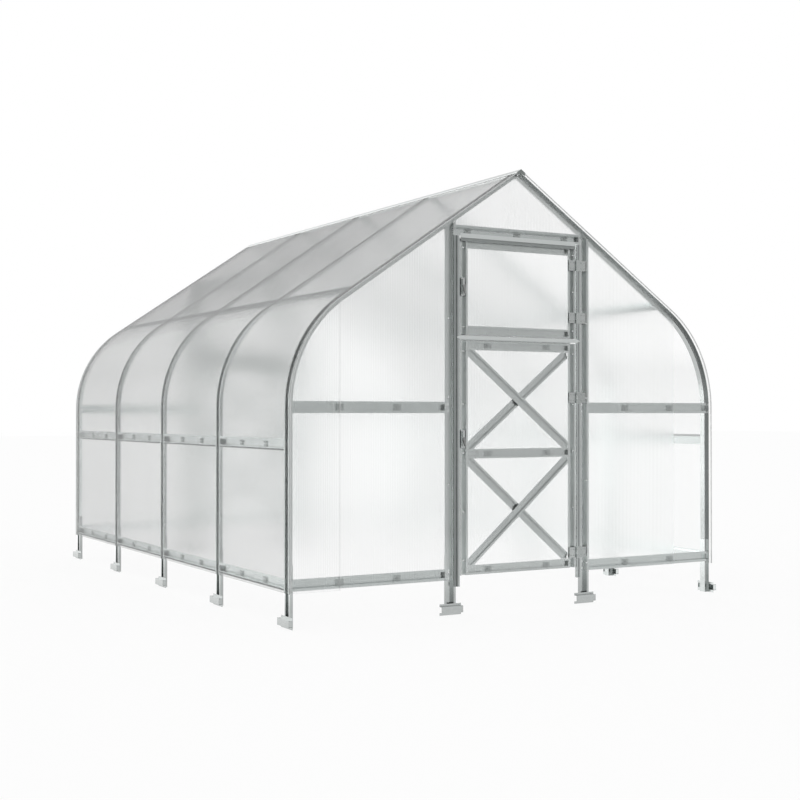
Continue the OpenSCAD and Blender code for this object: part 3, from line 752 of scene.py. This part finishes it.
def edge_caps():
    """Caps that close the flutes at the front and rear edges of the wall and roof sheets. The left
    ones are a darker copy of the right ones, as painted shade.
    """
    reach = -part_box("left_front_sheet")[0].y
    n = len(CAP_SECTION)
    paths = [outline_path(inset, SKIRT_Z, CAP_GAP) for inset, _ in CAP_SECTION]
    for side, word, mat in ((-1, "left", EDGE_SHADED), (1, "right", EDGE)):
        for end, place in ((-1, "front"), (1, "rear")):
            verts, faces = [], []
            for k, section in enumerate(zip(*paths)):
                verts += [(side * x, end * (reach + out), z)
                          for (x, z), (_, out) in zip(section, CAP_SECTION)]
                if k:
                    a, b = k * n - n, k * n
                    faces += [(a + j, a + (j + 1) % n, b + (j + 1) % n, b + j) for j in range(n)]
            faces += [tuple(range(n)), tuple(range(len(verts) - n, len(verts)))]
            mesh_piece(f"{word}_{place}_edge_cap", verts, faces, mat, "house")


def pane_joints():
    """Joining strips where a gable's wide and narrow sheets meet. The front's right corner is open."""
    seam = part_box("front_right_pane")[1].x
    top = under_outline(seam) - JOINT_TOP
    for face, sides in (("front", (-1,)), ("rear", (-1, 1))):
        b = Build(face)
        for sign in sides:
            u = (sign * seam - JOINT_HALF, sign * seam + JOINT_HALF)
            b.block(u, (SKIRT_Z, top), (PANE + HAIR, PANE + JOINT_OUT), chamfer=0.0003)
        b.done(f"{face}_pane_joints", JOINT_AND_SHADE, slot="gable_pane")


def foot_caps():
    """Plates that close the hollow ends of the feet along the side walls."""
    for face, sign in (("left", -1), ("right", 1)):
        b = Build(face)
        for a in ARCHES:
            middle = sign * (a[0].y + a[1].y) / 2
            for end in (-1, 1):
                b.block(sorted(middle + end * out for out in FOOT_CAP), FOOT_CAP_UP, FOOT_CAP_OUT)
        b.done(f"{face}_foot_caps", FOOT, slot="foot_steel")


def ridge_ends():
    """Dark end plates of the ridge cap: an inverted V with a screw near its top."""
    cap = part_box("ridge_cap")
    half, top = cap[1].x - 0.0055, cap[1].z - 0.0006
    deep, lip, thick, screw = 0.0215, 0.004, 0.0010, 0.016
    out = cap[1].y - END_Y + HAIR
    side = top - half * math.tan(PITCH)
    foot = side - deep + lip
    outline = [(0.0, top), (half, side), (half, foot), (half - lip, foot), (0.0, top - deep - lip),
               (lip - half, foot), (-half, foot), (-half, side)]
    for face in ("front", "rear"):
        b = Build(face)
        inner, outer = (b.ring([(u, v, w) for u, v in outline]) for w in (out, out + thick))
        b.skin(inner, outer)
        for ring, halves in ((inner, ((7, 6, 5, 4, 0), (4, 3, 2, 1, 0))),
                             (outer, ((0, 4, 5, 6, 7), (0, 1, 2, 3, 4)))):
            b.faces += [tuple(ring[k] for k in corners) for corners in halves]
        b.lathe(0.0, top - screw, out + thick + HAIR, SCREW_HEAD)
        b.done(f"{face}_ridge_end", RIDGE_END, slot="ridge_steel")


def small_parts():
    ridge_ends()
    side_parts()
    gable_parts()
    leaf_parts()
    hinge_screws()
    latch_levers()
    jamb_dark_strips()
    strip_shades()
    rail_shades()
    edge_caps()
    pane_joints()
    foot_caps()


# ---------- studio ----------

CAMERA_AT = (-4.494, -8.4167, 1.156)
CAMERA_TILT = 0.0105            # above level, in radians
CAMERA_TURN = -0.5206
CAMERA_LENS = 59.1165           # in mm, over a sensor of 36
SIDE_LIGHT = (-0.62, 0.78, 0.05)    # towards the broad light
SIDE_LEVEL = 1.35
SIDE_FOCUS = 4.0                # how fast it falls off round that
HORIZON_LEVEL = 0.95            # the rest of the surroundings, as light, at the horizon
UPPER_LEVEL = 0.80              # and from this height up
UPPER_FROM = 0.3
FLOOR_LEVEL = 1.0               # added to the floor's white in steel, out to the left
FLOOR_FROM, FLOOR_TO = -1.35, -2.3
FLOOR_GREY = (0.9, 0.9, 0.9)
FLOOR_GLOW = 0.9                # share of the floor that is white where it is looked at
FLOOR_HALF = 60.0


def camera():
    cam = bpy.data.objects.new("camera", bpy.data.cameras.new("camera"))
    bpy.context.scene.collection.objects.link(cam)
    cam.location = CAMERA_AT
    cam.rotation_euler = (math.radians(90) + CAMERA_TILT, 0.0, CAMERA_TURN)
    cam.data.sensor_width = 36.0
    cam.data.lens = CAMERA_LENS
    bpy.context.scene.camera = cam


def sky_level(n):
    """White all round to the camera. On surfaces a broad soft light from the left falls too, and the
    rest is a little less than white."""
    where = n.add("ShaderNodeTexCoord").outputs["Generated"]
    toward = n.add("ShaderNodeVectorMath", operation="DOT_PRODUCT")
    n.set(toward, 0, where)
    n.set(toward, 1, SIDE_LIGHT)
    lobe = n.calc("POWER", n.calc("MAXIMUM", toward.outputs["Value"], 0.0), SIDE_FOCUS)
    path = n.add("ShaderNodeLightPath").outputs
    falls = n.calc("GREATER_THAN", n.calc("ADD", path["Diffuse Depth"], path["Glossy Depth"]), 0.5)
    light = n.calc("MULTIPLY", n.calc("MULTIPLY", lobe, SIDE_LEVEL), falls)
    less = n.spread(n.part("Z", where), 0.0, UPPER_FROM, 1.0 - HORIZON_LEVEL, 1.0 - UPPER_LEVEL)
    return n.calc("ADD", light, n.calc("SUBTRACT", 1.0, n.calc("MULTIPLY", falls, less)))


def seen_directly(n):
    """1 where the camera, a gloss or a clear sheet looks at it."""
    path = n.add("ShaderNodeLightPath").outputs
    seen = n.calc("MAXIMUM", path["Is Camera Ray"], path["Is Glossy Ray"])
    return n.calc("MAXIMUM", seen, path["Is Transmission Ray"])


def floor_glow(n):
    """The floor is white to the camera, and brighter in steel out to the left, for the side light."""
    where = n.add("ShaderNodeTexCoord").outputs["Object"]
    side = n.spread(n.part("X", where), FLOOR_FROM, FLOOR_TO, 0.0, FLOOR_LEVEL,
                    interpolation_type="SMOOTHSTEP")
    falls = n.calc("GREATER_THAN", n.add("ShaderNodeLightPath").outputs["Glossy Depth"], 0.5)
    return n.calc("ADD", n.calc("MULTIPLY", side, falls), 1.0)


def studio():
    scene = bpy.context.scene
    scene.view_settings.view_transform = "Standard"
    world = bpy.data.worlds.new("world")
    scene.world = world
    world.use_nodes = True
    n = Nodes(world.node_tree)
    background = n.tree.nodes["Background"]
    n.set(background, "Color", (1.0, 1.0, 1.0))
    n.set(background, "Strength", sky_level(n))

    mat = bpy.data.materials.new("floor_white")
    mat.use_nodes = True
    n = Nodes(mat.node_tree)
    n.tree.nodes.clear()
    share = n.calc("MULTIPLY", seen_directly(n), FLOOR_GLOW)
    matt = n.add("ShaderNodeBsdfDiffuse", Color=FLOOR_GREY).outputs[0]
    glow = n.add("ShaderNodeEmission", Strength=floor_glow(n)).outputs[0]
    mix = n.add("ShaderNodeMixShader")
    for socket, value in enumerate((share, matt, glow)):
        n.set(mix, socket, value)
    n.add("ShaderNodeOutputMaterial", Surface=mix.outputs[0])

    mesh = bpy.data.meshes.new("floor")
    corners = [(x * FLOOR_HALF, y * FLOOR_HALF, 0.0) for x, y in ((-1, -1), (1, -1), (1, 1), (-1, 1))]
    mesh.from_pydata(corners, [], [(0, 1, 2, 3)])
    mesh.materials.append(mat)
    floor = bpy.data.objects.new("floor", mesh)
    scene.collection.objects.link(floor)


finish_nodes()
all_webs()
small_parts()
camera()
studio()
